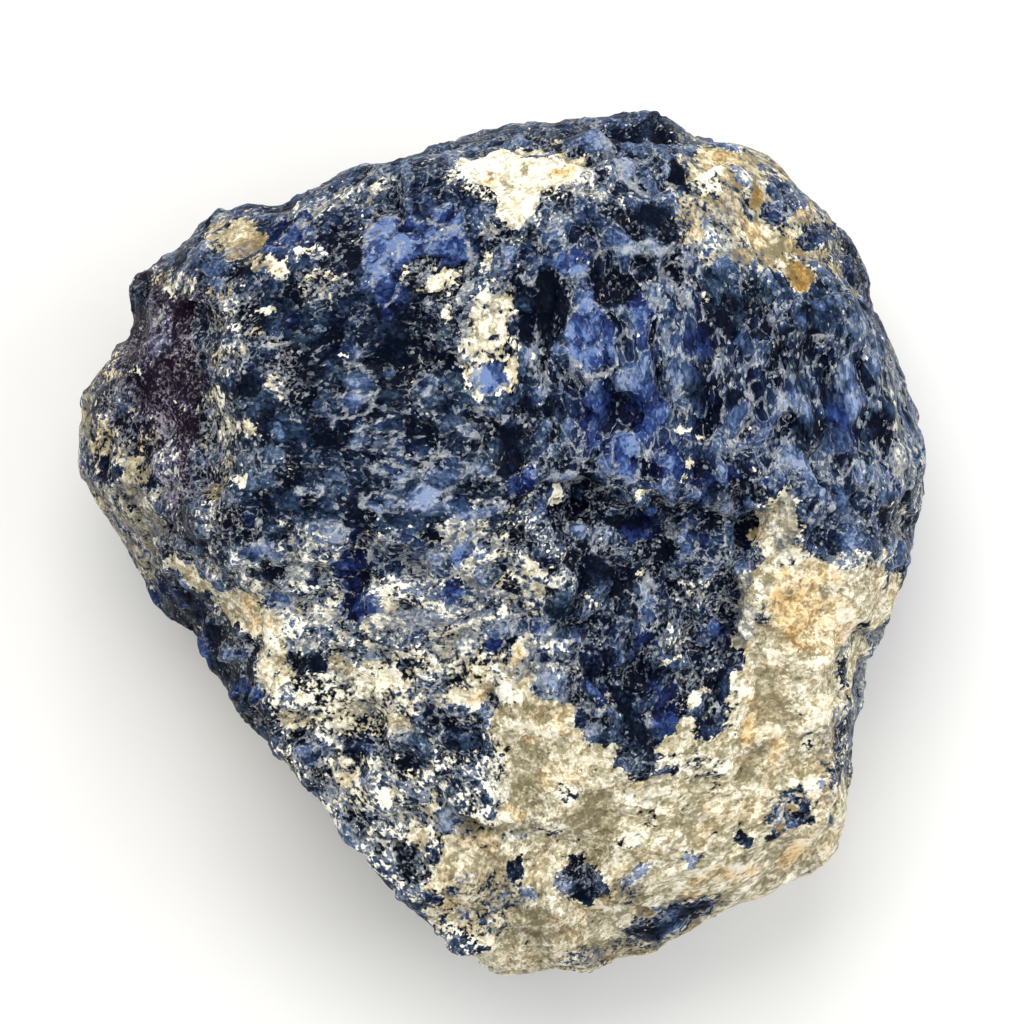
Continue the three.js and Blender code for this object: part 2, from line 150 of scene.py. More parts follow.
# Marks that tell one spot from the next, each an oval: its middle, its two reaches and, if it is
# turned, how far, in degrees counter-clockwise. They lie on the zones in this order.
MARKS = [
    ("dark flakes", [
        (-9, 28, 3, 1, 10), (18, 19, 2.6, 2.4), (23.8, 9, 1.8, 1.2), (7.5, 12, 2, 1),
        (-4, -14.3, 3.2, 1.6), (-27.5, 5.2, 1.2, 0.5, 40), (22, 27.5, 2, 0.7, -35),
        (-8, -24, 1.5, 0.8, -35), (28.5, 3, 0.6, 2, -20), (26.8, -15.5, 0.5, 2.4, -5),
        (1, -25.4, 0.7, 0.9)]),
    ("black slate", [
        (-7, 14.8, 4.4, 1.4), (-1.5, 8.6, 3.6, 1.2), (-16, 20, 2.6, 1.2), (-20.5, 20.5, 1.8, 0.8),
        (-12, 23, 2, 1.4), (-29, 19, 0.9, 1.8), (-31, 6, 0.6, 1.3, 40), (2.8, 17.8, 1.4, 3.8),
        (8.5, 20.3, 1.7, 1.6), (11, 24.5, 1.9, 1.8), (12.8, 21, 2.4, 0.8, -30),
        (22, 15.5, 2.2, 1.1, -40), (15, 12, 1.5, 0.9), (4, 10.5, 0.6, 3), (18, 11.5, 1, 0.5),
        # The marks at (6.2, 4) and (7, 2) lie below the arched ledge: dark sodalite, and painted
        # shade under the ledge
        (4.6, 6.6, 0.5, 1.6), (13.6, 29, 0.6, 1.6, 25), (12, 32.3, 1.6, 1.2), (6.2, 4, 1.7, 1),
        (7, 2, 2, 1.8), (18.2, -7, 0.7, 1.2), (17, -11.5, 1.1, 1), (10, -13, 0.8, 2.6, 10),
        (11.2, -17, 0.9, 1), (-12, 1.8, 1.8, 0.8), (-18, -2, 0.9, 0.7), (-15, -9.4, 1.6, 1, -10),
        (-7.8, -9.5, 0.4, 0.7), (-1, -13.6, 1, 1), (0.5, -7.2, 0.5, 0.4), (8, -15, 0.5, 0.9),
        (6, -1.8, 1.8, 1.3), (9, -3.2, 1.3, 1.6), (4.4, -4.2, 0.7, 1.5), (12.6, -1, 0.8, 1.5),
        (5, 2, 1, 1.2), (-0.3, -26.8, 0.6, 0.5), (-1.5, -31.8, 0.6, 0.5),
        (-4.2, -28, 2.3, 0.9, -8), (18.8, -23, 0.6, 0.45), (21, -22.6, 0.7, 0.5),
        (23.2, 2.5, 0.4, 2), (29.5, 9.5, 0.6, 1), (24, 17, 0.7, 2.4, 10)]),
    ("royal blue", [
        (-9, 20.4, 1.3, 3, 10), (-16.5, 17.5, 0.7, 0.5), (11, 17.2, 0.9, 2.8, 12),
        (15, 15.6, 0.9, 1.7, -15), (7.3, 10.4, 1.4, 2.6), (11.3, 10.6, 1.8, 2.2),
        (17.6, 16.3, 0.9, 0.9), (2, 5.8, 0.9, 2.6, -38), (18, 5.2, 3, 0.9), (12.5, 6.6, 1.2, 1.4),
        (11, 1.2, 1.5, 1.4), (-11.8, -0.8, 1.4, 1.6), (-11.2, -4, 1, 2, 40),
        (11, -7.8, 1.4, 0.9, 10), (16.8, -6.5, 1.2, 1), (-3.7, -3.4, 0.7, 0.9),
        (-0.8, -7.8, 0.7, 0.7), (7.3, -11.6, 1.2, 0.7, -20), (26.6, 9.5, 0.8, 2, 20),
        (12.3, -12.8, 1.1, 1.8), (-26.9, -3.6, 1.4, 1, -40), (-22.9, -7.9, 1.3, 0.8, -20),
        (-20, -11, 1, 0.8)]),
    ("blue flakes", [
        (1.4, 22.5, 1.7, 2.2), (13.8, 22.5, 1.1, 0.9), (20.5, 12, 1.5, 0.9, -10),
        (14.3, 1.2, 0.8, 2.2), (16.2, 0.5, 1, 1.6), (11.3, -5, 0.9, 1.4), (-19, -0.5, 1.3, 0.9),
        (-19.5, 2, 0.7, 0.9), (-8, -0.6, 2.4, 1.5), (6.5, -13.5, 1, 1.1), (24.5, 5.6, 1.7, 1, 10),
        (26, 3, 0.9, 2, 15), (24.6, 1.5, 0.6, 1.3, 15), (30, 6, 0.6, 1.6, 20),
        (-15, -16, 1.5, 1.2), (-11, -15.8, 1, 0.8), (21.5, 26, 1, 0.8), (25.5, 15, 1.2, 1.4, -10),
        (-21, -8.5, 1.2, 1.1), (20, 8, 2.5, 1)]),
    ("scales", [
        (-12.9, 15, 1.9, 0.9, 15), (-11, 12.6, 0.8, 1.7, 30), (-11.3, 11, 1.5, 0.9),
        (-12, 9.3, 1.2, 0.5), (-8.7, 9.4, 1, 0.6, 10), (-5.9, 12.4, 0.9, 0.7, 40),
        (-6.6, 7.6, 2.1, 0.8, -10), (-4.6, 5.6, 1.8, 1.2, 20), (-1.5, 5.7, 1.3, 0.4, -10),
        (-9.7, 3.4, 1.4, 0.8, -10), (-6.5, 3.5, 1.3, 0.9, 20), (-3.3, 3, 1.5, 0.6, -40),
        (-8.6, 5.8, 1.5, 0.5, -10), (-0.9, 10.2, 1.1, 0.4, -10), (-2.6, 8.8, 0.9, 0.4, -30),
        (4.2, 4.6, 1.3, 0.9, 20), (7, 5, 1.2, 0.8, -10), (5.6, 1.2, 0.9, 0.7),
        (19, 2.2, 0.9, 0.5, -30), (17, 3.2, 0.7, 0.4, 10)]),
    ("bright blue", [
        (-6.4, 23.1, 4.2, 2, -14), (-4, 22.3, 1.8, 2.4), (-9.3, 22.6, 1.5, 1.4),
        (-4.2, 25.6, 1.2, 0.9), (-9.2, 20, 0.9, 1.4, 10), (-0.8, 13, 1.2, 1.2),
        (7, 16, 1.9, 2.9, 8), (5.4, 22, 1.5, 1.1), (9.4, 7, 0.9, 2, 8), (-3.1, -0.6, 0.8, 0.8),
        (-19, -0.2, 0.7, 0.5)]),
    ("blue film", [
        (12, 19.2, 0.7, 1.2, 40), (22.6, 11, 1.4, 0.9), (5, 5.2, 1.2, 0.5, 25),
        (-0.7, 3, 1.1, 0.6, 25), (7.6, 0.6, 0.8, 0.9), (1.5, -6.2, 2, 0.8, -10),
        (4, -11, 1.7, 1.3), (-17.5, -4, 1.3, 0.6, -20), (-15.2, -1.8, 0.6, 0.8),
        (-12.8, 1, 0.8, 0.4, 40), (-15, 4.2, 0.9, 0.4), (-5.4, -1, 0.9, 0.6),
        (-9.7, -8.8, 0.8, 0.4), (-4, -21.5, 1.3, 0.9, -35), (2, -27.5, 0.5, 0.6),
        (15, -24.7, 0.8, 0.3, 15), (10.5, -25.8, 1.6, 0.4, 35), (19.3, -4.5, 0.9, 0.8),
        (27.3, 5.6, 0.6, 0.9), (9, 30, 0.4, 3, 30), (11, 22.9, 2, 0.3), (13.2, 20, 1.8, 0.3, -50),
        (-6.5, -5.5, 2, 0.9), (11.3, -13.5, 0.3, 0.6), (2.4, 15, 0.3, 1.5),
        (11.2, -4.6, 0.7, 2.1, -8)]),
    # Painted shade and painted reflection: violet marks on the left side
    ("lilac", [(-26.3, 7, 1, 2.4), (-27, 17, 0.8, 2), (-25.5, 4, 1, 1)]),
    ("frost", [
        (-21, 17, 2.4, 3.8), (-22.5, 8, 1.8, 5), (-17.5, 14, 1.6, 3, 20), (-22, 1.5, 1.6, 2),
        (-14, 20.4, 2.2, 1.2)]),
    ("mottled", [
        (-1.5, -28, 3.5, 2.6, -20), (9, -32.5, 5, 1.2, 10), (13.5, -29.6, 4.6, 1.7, 22),
        (26.2, -16.4, 1.4, 4, -5), (22.4, -20.8, 2.2, 1.5, 30), (9, -27.6, 2.4, 0.7, 25),
        (-2.2, -23, 1.5, 1.6), (20.2, -6, 0.8, 1.6), (-21.2, 24.4, 2.4, 1.8)]),
    # Painted shade and painted reflection: violet on the left side
    ("worn and violet-shaded", [(-31, 9.5, 2.2, 2.2)]),
    ("slate", [
        (24.4, 24.2, 1.3, 1), (22, 27.2, 1.8, 0.8, -35), (6.2, -26.7, 2.1, 1.5, -20),
        (13.4, -29.6, 3.8, 1.1, 22), (23.2, -21.4, 1.2, 0.7, 30)]),
    ("black slate", [
        (5.8, -25.4, 0.7, 1.1, 20), (6.4, -27.4, 1.2, 0.6, -30), (12, -30.2, 1.9, 0.7, 18),
        (15, -28.9, 1.9, 0.6, 26), (24.5, 24.4, 0.7, 0.5), (23.6, -21.6, 0.5, 0.4),
        (26.9, -15, 0.4, 1.6, -5), (26.4, -18.6, 0.4, 0.9)]),
    ("dull", [(22, 1.5, 0.9, 3.2, -6), (20.6, -2.6, 2.4, 1.2, 15), (18.8, -5.6, 0.9, 2.6, -10)]),
    ("salt", [
        (-20.5, 18.2, 1.3, 1.6), (1.2, 1, 1.6, 2.2), (-0.2, -2.4, 1.6, 1), (14.5, -3.6, 1.7, 0.9),
        (13, -7, 1.5, 0.9), (-12, -7, 2.2, 1.1), (-3.5, -31, 2, 1, -35), (31.5, 3, 1.1, 0.7),
        (27, -10, 0.6, 1.6), (27.4, -14.5, 0.8, 2.4), (26.5, -18.2, 0.9, 1.2),
        (-3.5, 19.5, 1.5, 2.4), (2, 28.8, 6.4, 2.2), (1, 26.2, 2.4, 3.2),
        (-6.5, 21.4, 1.6, 0.9, 30)]),
    ("speckle", [
        (-13, 26.7, 5, 0.8, 14), (-25, 20.5, 1, 0.7), (16.3, 23.6, 1.6, 0.8), (7, 28.5, 2, 1.6),
        (-6, -11, 2, 1.1), (28, -1.2, 2.6, 0.7), (-1.5, 25, 1, 1.4)]),
    ("olive", [
        (7, -21, 2.5, 1.5), (2, -17.5, 1.6, 2), (13.5, -21.5, 2.6, 0.8, 25), (21, -12, 1.4, 2.6),
        (19.6, -17.4, 1.3, 1.4), (-1.5, -24.6, 2.2, 0.8), (3, -30, 2.4, 1.4, -15),
        (12, -24, 2.4, 0.6, 25), (19.6, 30, 0.8, 1), (21.4, 23.4, 0.9, 0.9),
        (20.5, -7.2, 0.6, 0.5)]),
    ("speckle", [(-1.3, 16.6, 2.5, 4.6)]),
    ("mottled", [(-1.1, 16.6, 1.6, 3), (-18.5, 22.2, 2.2, 0.9, -20)]),
    ("feldspar", [
        (-21.4, 24.6, 1.5, 1.1), (-24.6, -2.4, 2.4, 0.6, -35), (-20.6, -5, 2.2, 1.1, -35),
        (-18.1, -8.4, 0.9, 3.2)]),
    ("cream", [
        (-14.8, 22.8, 1.4, 0.5, 10), (-17.6, 22, 1.5, 0.5, -40), (-1.3, 21.8, 0.6, 0.9),
        (-5.2, 20.6, 1.6, 0.5, 40), (-4.4, 18, 0.4, 0.9), (-0.9, 18, 1.8, 1.6),
        (-0.9, 16, 1.5, 1.2), (-1.8, 14.4, 1, 0.7, 30), (0.7, 14.2, 0.5, 1.1),
        (-20.6, 9.1, 1.5, 0.7), (-22.2, 11.6, 0.5, 1), (-26.2, 20.2, 0.5, 0.7),
        (-28.8, 13.8, 0.3, 0.4), (16, 28.4, 1, 1.4, 15), (22.8, 24.3, 0.4, 0.5),
        (7, -4.4, 0.9, 0.4, -40), (13, -9, 1.2, 0.3, 15), (2.5, -1.3, 0.6, 0.5),
        (3, -2.9, 0.5, 0.5), (-8.9, -4, 0.4, 1.7, 25), (-17.8, -10, 0.8, 3), (-14, -12.2, 2, 1.1),
        (-9.5, -10.6, 2.4, 1), (-12, -18.3, 1, 0.4, 20), (-8.6, -19.5, 0.6, 0.9),
        (-5.4, -20.5, 0.4, 1.4, -10), (-6.6, -23, 1.5, 0.6, 25), (-6.6, -27.6, 0.8, 0.3, -40),
        (3.5, -22.6, 1.4, 0.6), (10.6, -22.4, 2, 0.9, 40), (15.8, -17.6, 1.9, 1.4),
        (24, -14, 0.7, 2.5), (31, 11, 0.25, 0.9, 5), (5, -19.5, 0.9, 1), (1.3, -22.8, 1.2, 0.5),
        (22, -1.5, 1.6, 0.7, 15)]),
    ("chalk", [
        (1.6, 29.3, 4.6, 1.6), (1, 27, 1.5, 2.4), (-5, 20.5, 0.9, 0.35, 40),
        (-0.9, 17.2, 0.9, 0.8), (-1.8, 15.4, 0.5, 0.5, 30), (2.6, -1.6, 0.4, 0.3),
        (3, -3, 0.35, 0.3)]),
    ("sand", [
        (5, 29.6, 1.5, 0.8), (17.2, 30.6, 2, 1.1, -8), (20, 24.4, 1, 1.1), (21.8, 22, 0.9, 0.6),
        (14.1, 5.8, 0.3, 1, -20), (-20, -4.3, 0.5, 0.5), (-18.9, -6.4, 0.9, 0.7),
        (-3, -11.8, 1.8, 0.6), (1, -8.4, 0.4, 1.2, -15), (2.4, -14.6, 1.2, 1.3),
        (6, -15.6, 2.5, 0.5, -35), (24, -2.4, 3, 1), (26, -6, 1.8, 2), (19.3, -12, 0.5, 4.4),
        (17, -25.9, 2.6, 0.6, 8), (19.7, 0.8, 0.8, 0.3), (21.5, -16, 0.6, 2),
        (7, -28.8, 1.6, 0.5, 20), (23, -24.5, 1.5, 1, 30)]),
    ("ochre", [
        (-1, 28.4, 0.6, 0.4), (23, -4.4, 2.3, 2.2), (24, -7.2, 1.9, 1.1), (10.8, 4, 0.5, 0.4),
        (-13.4, -4.5, 0.3, 0.5), (-18.7, -6.2, 0.5, 0.5)]),
    ("rust", [(23.2, 21.2, 1.4, 1.1, -30), (19.7, 27, 0.4, 1.4)]),
    ("white", [
        (-12.6, 14.8, 0.3, 0.25), (-18.5, 18.4, 0.5, 0.4), (-20.3, 5.2, 0.4, 0.5),
        (14, 9, 0.8, 0.4), (15.5, 8.6, 0.5, 0.3), (4, 3.6, 0.7, 0.3, 35), (10.6, -2.3, 0.3, 0.25),
        (15.2, -12, 0.4, 0.9, -30), (-3, -27.5, 0.3, 0.2), (20, -2.8, 0.5, 0.5),
        (15.6, 19.4, 0.25, 0.3)]),
    ("cream", [(-1, 13.2, 2.1, 1.9)]),
    ("bright blue", [(-0.9, 12.9, 1.5, 1.25)]),
    ("royal blue", [(-17, 24.2, 2.2, 1.4, 30)]),
    ("bright blue", [(-16.6, 24.4, 1.3, 0.8, 30)]),
]

# Where the flakes are drawn out: the middle of the place, its reach, the way they run and how far.
RUNS = [
    ((11, 13, 30), 11, (0, 1, 0), 0.54),
    ((-10, 9, 32), 12, (1, 0, 0), 0.35),
    ((19, 28, 24), 7, (0.55, -0.83, 0), 0.5),
    ((27.5, 12, 22), 10, (0.25, -0.97, 0), 0.62),
    ((18, -28, 22), 9, (0.87, 0.5, 0), 0.4),
    ((11, -8, 30), 8, (0, 1, 0), 0.55),
    ((-9, -22, 26), 8, (0.6, -0.8, 0), 0.3),
    ((-29, 8, 24), 9, (0.1, 1, 0), 0.15),
]
COLUMNS = [(4, 24), (14, 24), (22, 17), (22, 5), (4, 5)]  # the fluted face, as a ring
PLATEAU = [(-22, 20), (-13, 23), (-1, 22), (2.5, 15), (3.5, 6), (0, 2.5), (-16, 0), (-23, 3)]

# The kinds on the underside and low on the sides, where no zone reaches, lie on the base kind too.
# Each lies where two noises, times its own numbers and added, rise from one level to the other.
UNDERSIDE = [
    #               wide narrow  from   to
    ("dark flakes", -1.0, 0.0, 0.10, 0.40),
    ("blue flakes", 0.0, 1.0, 0.50, 0.80),
    ("black slate", 0.0, -1.0, 0.70, 0.90),
    ("speckle", 1.0, 0.0, 0.15, 0.30),
    ("feldspar", 1.0, 0.2, 0.40, 0.55),
    ("sand", 1.0, -0.3, 1.00, 1.20),
]

# How the edges of flakes stray: how wide the bends are, how far they reach, and their seed
FLAKE_STRAYS = [(5.0, 0.30, 61), (1.8, 0.08, 71)]

ZONE_EDGE = 0.7  # half the width over which one zone turns into the next
MARK_EDGE = 0.16  # the same for a mark, for the fluted face and for the plateau
FLUTE_EDGE = 1.0
PLATEAU_EDGE = 1.5
FOLLOWERS = ("dark flakes", "black slate", "royal blue")  # big marks made of whole flakes
FOLLOWER_REACH = 0.8  # the smaller reach from which such a mark counts as big
RIMMED = ("blue flakes", "scales", "bright blue", "blue film")  # a pale line runs round them
BRINK_REACH = 1.0  # as far as the distance from an outline is told
UNDER_TO_UPPER = (8.0, 15.0)  # the heights over which the underside turns into the zones
HEIGHT_WANDER = 1.5  # how far up and down that border wanders
STEEP_TO_LEVEL = (0.1, 0.35)  # how far up the surface faces where marks set in, and show fully
LEVEL_WANDER = 0.08
FLAKE_HOLD = 0.9  # how far one flake is of one kind: 1 is wholly


# ---------------------------------------------------------------------------------------------
# Painting: what each point of the surface is made of.

WAVE_SPREAD = (0.7, 1.5)  # how wide the narrowest and the widest waves of a noise are, in sizes


def smooth(low, high, values):
    """0 below low, 1 above high, with a smooth rise between."""
    part = np.clip((values - low) / (high - low), 0.0, 1.0)
    return part * part * (3.0 - 2.0 * part)


def waves(points, size, seed, count=12):
    """Soft noise, mostly from -1 to 1, that changes over about size: seeded plane waves, added."""
    dice = np.random.default_rng(seed)
    total = np.zeros(len(points))
    for _ in range(count):
        heading = dice.normal(size=3)
        heading *= 2.0 * math.pi / (size * dice.uniform(*WAVE_SPREAD) * np.linalg.norm(heading))
        total += np.sin(points @ heading + dice.uniform(0.0, 2.0 * math.pi))
    return total / math.sqrt(count)


def strays(points, size, reach, seed):
    """How far each point strays, seen from above, so that the edges come out ragged."""
    return reach * np.column_stack([waves(points, size, seed + step) for step in range(2)])


def inside_ring(spots, ring):
    """How far each spot lies inside a ring of corners, in millimetres, negative outside."""
    corners = np.array(ring, dtype=float)
    nearest = np.full(len(spots), np.inf)
    within = np.zeros(len(spots), dtype=bool)
    for start, end in zip(corners, np.roll(corners, -1, axis=0)):
        side = end - start
        away = spots - start
        along = np.clip(away @ side / (side @ side), 0.0, 1.0)
        nearest = np.minimum(nearest, np.linalg.norm(away - along[:, None] * side, axis=1))
        if side[1]:  # A level side is never crossed
            spans = (start[1] > spots[:, 1]) != (end[1] > spots[:, 1])
            within ^= spans & (spots[:, 0] < start[0] + away[:, 1] * side[0] / side[1])
    return np.where(within, nearest, -nearest)


def inside_oval(spots, oval):
    """The same for an oval."""
    x, y, reach_x, reach_y, *turned = oval
    angle = math.radians(turned[0] if turned else 0.0)
    away = spots - (x, y)
    across = away @ (math.cos(angle), math.sin(angle)) / reach_x
    along = away @ (-math.sin(angle), math.cos(angle)) / reach_y
    return (1.0 - np.hypot(across, along)) * min(reach_x, reach_y)


def lay(shares, kind, cover):
    """Lays a kind of stone over what there is, as far as the cover goes."""
    shares += (KINDS[kind] - shares) * cover[:, None]


def shares_of(points, flakes, near, level):
    """Every share at every point: painted from above, and wild below the widest outline.

    Flakes holds the middle of the flake under each point, because a flake is mostly of one kind,
    and near holds the points as seen from above, strayed a little. Level is 1 where the surface
    faces up and 0 where it is too steep to be marked from above.
    """
    far = flakes[:, :2] + strays(points, size=4.0, reach=0.55, seed=21)
    # On the steep sides the borders of the zones wander further
    far += strays(points, size=11.0, reach=2.0, seed=91) * (1.0 - level)[:, None]
    above = np.tile(KINDS[BASE_KIND], (len(points), 1))
    for kind, ring in ZONES:
        lay(above, kind, smooth(-ZONE_EDGE, ZONE_EDGE, inside_ring(far, ring)))
    for kind, ovals in MARKS:
        for oval in ovals:
            whole = kind in FOLLOWERS and min(oval[2:4]) >= FOLLOWER_REACH
            inside = inside_oval(flakes[:, :2] if whole else near, oval)
            lay(above, kind, smooth(-MARK_EDGE, MARK_EDGE, inside) * level)
    below = np.tile(KINDS[BASE_KIND], (len(points), 1))
    wide, narrow = waves(points, size=26.0, seed=31), waves(points, size=9.0, seed=41)
    for kind, of_wide, of_narrow, low, high in UNDERSIDE:
        lay(below, kind, smooth(low, high, of_wide * wide + of_narrow * narrow))
    height = points[:, 2] + HEIGHT_WANDER * waves(points, size=8.0, seed=51)
    return below + (above - below) * smooth(*UNDER_TO_UPPER, height)[:, None]


def brink_of(near):
    """How far each point is from the outline of the nearest rimmed mark, in millimetres."""
    rimmed = [oval for kind, ovals in MARKS if kind in RIMMED for oval in ovals]
    away = np.min([np.abs(inside_oval(near, oval)) for oval in rimmed], axis=0)
    return np.minimum(BRINK_REACH, away)


def grain_places(points, wanders):
    """Where each point lies in the pattern of flakes, in millimetres: drawn out along the runs."""
    places = points.copy()
    for middle, reach, way, pull in RUNS:
        away = points - middle
        way = np.array(way) / np.linalg.norm(way)
        weight = pull * np.exp(-0.5 * (away**2).sum(1) / reach**2)
        places -= (weight * (away @ way))[:, None] * way
    for size, move, seed in wanders:
        for axis in range(3):
            places[:, axis] += move * waves(points, size, seed + axis)
    return places


# ---------------------------------------------------------------------------------------------
# Node trees. The same layers of flakes are written into the relief and into the material.

MIDDLE = 0.5  # about the average of a noise and of a flake's dice
FLAKE_REACH = 0.5  # about how far a flake reaches from its middle, in widths
SMALL_SHIFT = (31.7, 12.3, 5.1)  # how far a layer is moved off the others, in millimetres
GRAIN_SHIFT = (17.3, 3.9, 51.1)
PLANE_SHIFT = (7.7, 41.3, 3.1)
PLATE_SHIFT = (9.1, 3.3, 27.7)
PLATE_STEPS = (-0.06, 0.06)  # where in their noise one thin plate ends and the next is seen


def chained(operation):
    """A method for a sheet that joins values by a math operation, from the first to the last."""

    def join(sheet, *values):
        total = values[0]
        for value in values[1:]:
            total = sheet.math(operation, total, value)
        return total

    return join


class Sheet:
    """A node tree being written. A value is a number, a tuple or another node's socket."""

    def __init__(self, tree):
        self.tree = tree
        self.shapes = tree.bl_idname == "GeometryNodeTree"

    def node(self, kind, **settings):
        node = self.tree.nodes.new(kind)
        for name, setting in settings.items():
            setattr(node, name, setting)
        return node

    def feed(self, socket, value):
        if isinstance(value, bpy.types.NodeSocket):
            self.tree.links.new(value, socket)
        elif socket.type == "RGBA":
            socket.default_value = (*value[:3], 1.0)
        else:
            socket.default_value = value

    def math(self, operation, *values):
        node = self.node("ShaderNodeMath", operation=operation)
        for socket, value in zip(node.inputs, values):
            self.feed(socket, value)
        return node.outputs[0]

    plus, times, minus = chained("ADD"), chained("MULTIPLY"), chained("SUBTRACT")
    least, most = chained("MINIMUM"), chained("MAXIMUM")

    def vector(self, operation, *values, scale=None):
        node = self.node("ShaderNodeVectorMath", operation=operation)
        for socket, value in zip(node.inputs, values):
            self.feed(socket, value)
        if scale is not None:
            self.feed(node.inputs["Scale"], scale)
        return node.outputs["Value" if operation == "DOT_PRODUCT" else "Vector"]

    def evened(self, vector):
        """Three numbers about the middle, brought to be about 0."""
        return self.vector("SUBTRACT", vector, (MIDDLE,) * 3)

    def parts(self, value):
        node = self.node("ShaderNodeSeparateXYZ")
        self.feed(node.inputs[0], value)
        return node.outputs[0], node.outputs[1], node.outputs[2]

    def ease(self, value, low, high):
        """0 at low and 1 at high, smooth between. Low may be the higher number."""
        node = self.node("ShaderNodeMapRange", interpolation_type="SMOOTHSTEP")
        for name, number in (("Value", value), ("From Min", low), ("From Max", high)):
            self.feed(node.inputs[name], number)
        return node.outputs[0]

    def blend(self, share, first, second, kind="RGBA", blend_type="MIX"):
        node = self.node("ShaderNodeMix", data_type=kind, blend_type=blend_type)
        # The node has a pair of inputs and an output for each kind
        first_in, second_in, out = {"FLOAT": (2, 3, 0), "RGBA": (6, 7, 2)}[kind]
        self.feed(node.inputs[0], share)
        self.feed(node.inputs[first_in], first)
        self.feed(node.inputs[second_in], second)
        return node.outputs[out]

    def cast(self, share, colour, tint):
        """The colour with a share of a tint laid over it like coloured glass."""
        return self.blend(share, colour, tint, blend_type="MULTIPLY")

    def ramp(self, value, stops, colours):
        """A colour for each value. A stop is a place and the name of one of the colours."""
        node = self.node("ShaderNodeValToRGB")
        elements = node.color_ramp.elements
        elements[0].position = stops[0][0]
        elements[1].position = stops[-1][0]
        for place, _ in stops[1:-1]:
            elements.new(place)
        for element, (_, name) in zip(elements, stops):
            element.color = (*getattr(colours, name), 1.0)
        self.feed(node.inputs[0], value)
        return node.outputs[0]

    def noise(self, place, size, detail=2.0, roughness=0.5):
        """A soft noise: its number and its three numbers, each about the middle."""
        node = self.node("ShaderNodeTexNoise")
        for name, value in (
            ("Vector", place), ("Scale", 1.0 / size), ("Detail", detail), ("Roughness", roughness)
        ):
            self.feed(node.inputs[name], value)
        return node.outputs[0], node.outputs[1]

    def hum(self, place, **kind):
        """The number of a soft noise, brought to be about 0."""
        return self.minus(self.noise(place, **kind)[0], MIDDLE)

    def cells(self, place, size, feature="F1"):
        node = self.node("ShaderNodeTexVoronoi", feature=feature)
        self.feed(node.inputs["Vector"], place)
        self.feed(node.inputs["Scale"], 1.0 / size)
        return node.outputs

    def attribute(self, name, kind="FLOAT"):
        if self.shapes:
            node = self.node("GeometryNodeInputNamedAttribute", data_type=kind)
            node.inputs["Name"].default_value = name
            return node.outputs["Attribute"]
        node = self.node("ShaderNodeAttribute", attribute_name=name)
        return node.outputs["Vector" if kind == "FLOAT_VECTOR" else "Fac"]

    def store(self, name, geometry, value, kind="FLOAT"):
        node = self.node("GeometryNodeStoreNamedAttribute", data_type=kind)
        for socket, given in (("Geometry", geometry), ("Name", name), ("Value", value)):
            self.feed(node.inputs[socket], given)
        return node.outputs[0]


class Flakes:
    """One layer of flakes: the dice of each flake, its lean at a point, and how near its rim is."""

    def __init__(self, sheet, place, size, moved=(0.0, 0.0, 0.0)):
        self.sheet = sheet
        self.size = size
        self.spot = sheet.vector("ADD", place, moved)
        cells = sheet.cells(self.spot, size)
        self.whole_dice = cells["Color"]
        self.dice = sheet.parts(cells["Color"])
        self.middle = cells["Position"]
        self.nearest = cells["Distance"]

    def roll(self, number):
        """A number that differs from flake to flake by 1 in all, and is 0 on average."""
        return self.sheet.minus(self.dice[number], MIDDLE)

    def lean(self):
        """How high a point stands on its flake, which leans its own way: 0 at the middle."""
        away = self.sheet.vector("SUBTRACT", self.spot, self.middle)
        return self.sheet.vector("DOT_PRODUCT", away, self.sheet.evened(self.whole_dice))

    def relief(self, step, part, tilt):
        """Its height: each flake up to part of a step up or down, and leaning by up to tilt."""
        height = self.sheet.times(self.roll(0), 2.0 * part * step)
        return self.sheet.plus(height, self.sheet.times(self.lean(), 2.0 * tilt))

    def rim(self):
        """About how far the rim is, in millimetres: the second nearest middle is as near there."""
        second = self.sheet.cells(self.spot, self.size, "F2")["Distance"]
        gap = self.sheet.minus(second, self.nearest)
        return self.sheet.times(gap, 0.5 * self.size)

    def seam(self, widening):
        """The same, but less where three flakes meet, so that a line along it widens there."""
        far = self.sheet.minus(self.nearest, FLAKE_REACH)
        return self.sheet.minus(self.rim(), self.sheet.times(far, widening * self.size))


def small_flakes(sheet, place, sizes):
    return Flakes(sheet, place, sizes.small_flake_size / MM, SMALL_SHIFT)


# ---------------------------------------------------------------------------------------------
# The lump's form. Sizes are in millimetres.

MERGE_GAP = 0.02
HOLLOW_DEPTH = 0.35  # how far below its surroundings a point counts as deep
FOOT_LEVEL = 0.06  # what is lower is pressed flat
FOOT_TO_SIDE = (0.3, 1.6)  # the heights over which the relief sets in above the foot
PLATEAU_CALM = 0.5  # how much of the relief is taken off the plateau
STEEP_CALM = 0.45  # and off the steep sides

GRAIN_DOME = 0.16
GRAIN_DOME_EDGE = 0.22
GRAINY = (0.3, 0.7)  # how pale the stone is where grains set in and where there are only grains
PLATE_DROP = 0.17  # from one thin plate to the next
PLATE_SLANT = 0.02  # half the width of that drop, in the plates' noise
RAGGED_REACH = 0.8  # how far the edges of big flakes stray
FLUTE_STRETCH = (1.0, 0.16, 1.0)  # flutes run along Y
FLUTE_DEPTH = 1.8


def fresh_copy(node):
    """A copy of a CAD node's mesh, merged and in millimetres, as a new object."""
    mesh = bpy.data.meshes.new(PIECE)
    form = bmesh.new()
    form.from_mesh(node.data)
    bmesh.ops.remove_doubles(form, verts=form.verts, dist=MERGE_GAP * MM)
    bmesh.ops.scale(form, vec=(1.0 / MM,) * 3, verts=form.verts)
    form.to_mesh(mesh)
    form.free()
    piece = bpy.data.objects.new(PIECE, mesh)
    bpy.context.scene.collection.objects.link(piece)
    return piece


